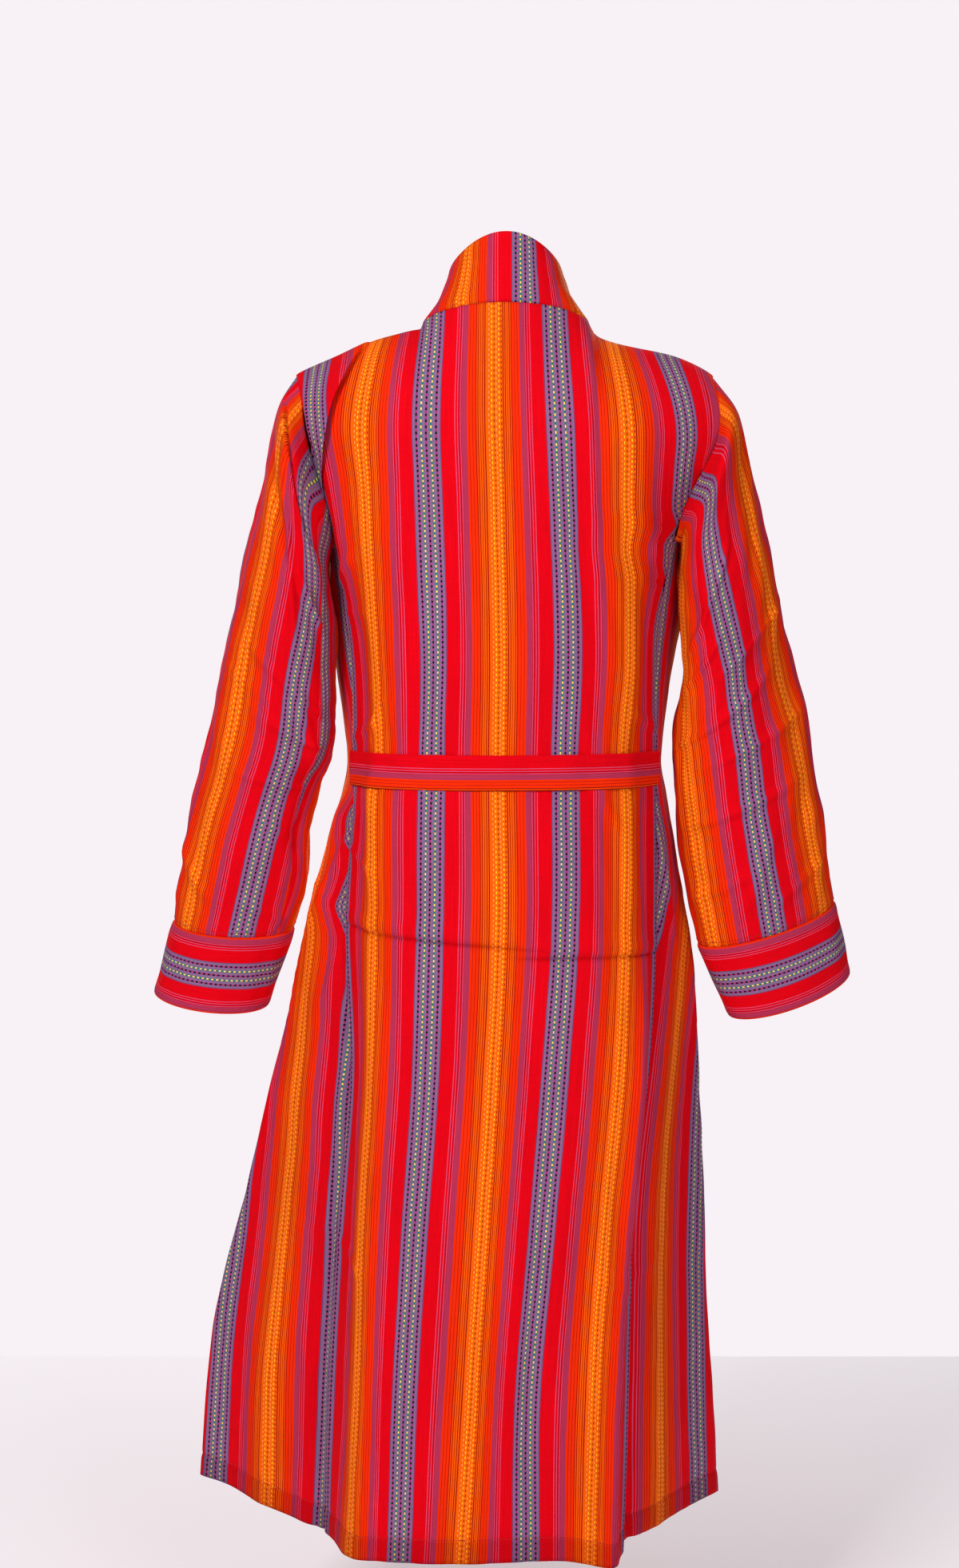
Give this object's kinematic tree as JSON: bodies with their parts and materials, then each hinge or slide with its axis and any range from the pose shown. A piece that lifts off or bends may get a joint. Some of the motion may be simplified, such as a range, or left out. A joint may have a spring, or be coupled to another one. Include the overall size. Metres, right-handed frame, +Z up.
{
  "type": "kimono robe",
  "caption": "Long hollow striped cotton robe in the kimono manner, as worn, with a standing collar band, long sleeves with turned-back cuffs and a half belt across the back waist.",
  "frame": {"origin": "midway between the two side-neck points of the shoulder seams, where the robe hangs on its wearer", "axes": "+Z up, +Y towards the back of the robe, +X towards the wearer's left"},
  "size_m": [0.729, 0.2779, 1.3241],
  "materials": {
    "striped_cotton": "matt woven cotton with warp stripes in red, orange, mauve and violet",
    "sewing_thread": "matt twisted cotton thread"
  },
  "bodies": {
    "root": {"back": "striped_cotton", "front_left": "striped_cotton", "front_right": "striped_cotton", "sleeve_left": "striped_cotton", "sleeve_right": "striped_cotton", "cuff_left": "striped_cotton", "cuff_right": "striped_cotton", "collar": "striped_cotton", "belt": "striped_cotton"}
  },
  "joints": []
}
